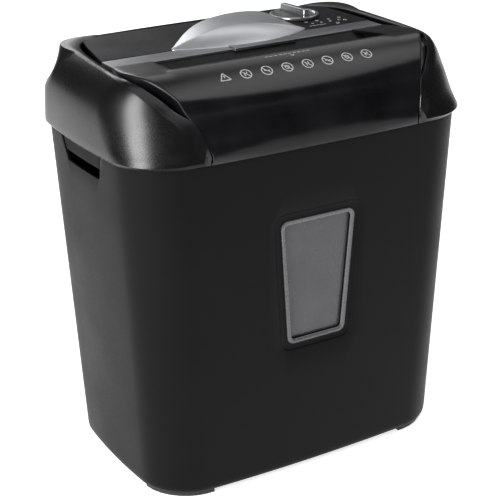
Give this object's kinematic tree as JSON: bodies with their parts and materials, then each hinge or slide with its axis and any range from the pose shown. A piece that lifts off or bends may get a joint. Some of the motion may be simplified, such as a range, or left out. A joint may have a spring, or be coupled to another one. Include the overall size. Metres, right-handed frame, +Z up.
{
  "type": "paper shredder",
  "caption": "Tapered waste bin with a smoked window and side grips, under a lift-off cross-cut head with a glossy rounded front, feed slot, silver disc guide and rotary dial.",
  "frame": {"origin": "on the floor under the centre of the bin", "axes": "+Z up, -Y towards the front with the window, +X to the right seen from the front"},
  "size_m": [0.3548, 0.228, 0.394],
  "materials": {
    "satin_black": "fine satin texture",
    "gloss_black": "high gloss",
    "panel_black": "smooth satin",
    "throat_black": "matte",
    "frame_grey": "semi-gloss",
    "window_smoke": "clear smoked",
    "silver": "silver lacquer",
    "foot_rubber": "matte",
    "steel": "machined",
    "zinc_plate": "zinc plated",
    "bronze": "sintered",
    "nylon": "natural",
    "inner_black": "glass-filled",
    "board_green": "solder mask",
    "lens_clear": "clear lens",
    "ceramic_tan": "matte"
  },
  "bodies": {
    "bin": {"bin_shell": "satin_black", "window_frame": "frame_grey", "window_pane": "window_smoke", "bin_feet": "foot_rubber", "interlock_tab": "satin_black"},
    "head": {"head_shell": "satin_black", "front_panel": "gloss_black", "groove_liner": "gloss_black", "top_panel": "panel_black", "disc_guide": "silver", "slot_throat": "throat_black", "lower_housing": "inner_black", "rotary_switch": "inner_black", "indicator_lenses": "lens_clear", "control_board": "board_green", "sensor_housing": "inner_black", "sensor_pin": "steel", "drive_side_plate": "zinc_plate", "idle_side_plate": "zinc_plate", "tie_rods": "steel", "shaft_bushes": "bronze", "front_stripper": "inner_black", "rear_stripper": "inner_black", "gear_posts": "steel", "gear_cover": "inner_black", "motor_can": "zinc_plate", "motor_endbell": "inner_black", "motor_bracket": "zinc_plate", "thermal_cutout": "ceramic_tan", "interlock_switch": "inner_black", "cord_inlet": "foot_rubber", "mechanism_screws": "zinc_plate", "housing_screws": "zinc_plate"},
    "dial": {"control_dial": "silver", "dial_spindle": "nylon"},
    "lever": {"sensor_lever": "nylon"},
    "front_cutter": {"front_cutter_shaft": "steel", "front_cutter_discs": "steel", "front_sync_gear": "steel"},
    "rear_cutter": {"rear_cutter_shaft": "steel", "rear_cutter_discs": "steel", "rear_sync_gear": "steel", "rear_drive_gear": "steel"},
    "gear_b": {"compound_gear_b": "nylon"},
    "gear_a": {"compound_gear_a": "nylon"},
    "rotor": {"motor_shaft": "steel", "motor_pinion": "steel", "motor_fan": "inner_black"},
    "plunger": {"interlock_plunger": "nylon"}
  },
  "joints": [
    {"name": "head_lift", "type": "slide", "parent": "bin", "child": "head", "axis": [0, 0, 1], "range_m": [0, 0.12]},
    {"name": "dial_turn", "type": "hinge", "parent": "head", "child": "dial", "pos_m": [0.087, 0.067, 0.385], "axis": [0, 0, 1], "range_deg": [-60, 60]},
    {"name": "lever_tip", "type": "hinge", "parent": "head", "child": "lever", "pos_m": [-0.009, -0.061, 0.365], "axis": [1, 0, 0], "range_deg": [-25, 0], "stiffness_Nm_per_rad": 0.004, "springref_deg": 8.59},
    {"name": "motor_spin", "type": "hinge", "parent": "head", "child": "rotor", "pos_m": [-0.08, 0.06663, 0.345], "axis": [1, 0, 0], "continuous": true},
    {"name": "gear_a_spin", "type": "hinge", "parent": "head", "child": "gear_a", "pos_m": [-0.13, 0.03562, 0.345], "axis": [1, 0, 0], "continuous": true},
    {"name": "gear_b_spin", "type": "hinge", "parent": "head", "child": "gear_b", "pos_m": [-0.13, 0.0025, 0.345], "axis": [1, 0, 0], "continuous": true},
    {"name": "rear_cutter_spin", "type": "hinge", "parent": "head", "child": "rear_cutter", "pos_m": [0, -0.035, 0.345], "axis": [1, 0, 0], "continuous": true},
    {"name": "front_cutter_spin", "type": "hinge", "parent": "head", "child": "front_cutter", "pos_m": [0, -0.065, 0.345], "axis": [1, 0, 0], "continuous": true},
    {"name": "plunger_press", "type": "slide", "parent": "head", "child": "plunger", "axis": [0, 0, 1], "range_m": [0, 0.004], "stiffness_N_per_m": 200, "springref_m": -0.002}
  ],
  "couplings": [
    {"joint": "gear_a_spin", "follows": "motor_spin", "ratio": -0.24},
    {"joint": "gear_b_spin", "follows": "motor_spin", "ratio": 0.078},
    {"joint": "rear_cutter_spin", "follows": "motor_spin", "ratio": -0.030333},
    {"joint": "front_cutter_spin", "follows": "motor_spin", "ratio": 0.030333}
  ]
}
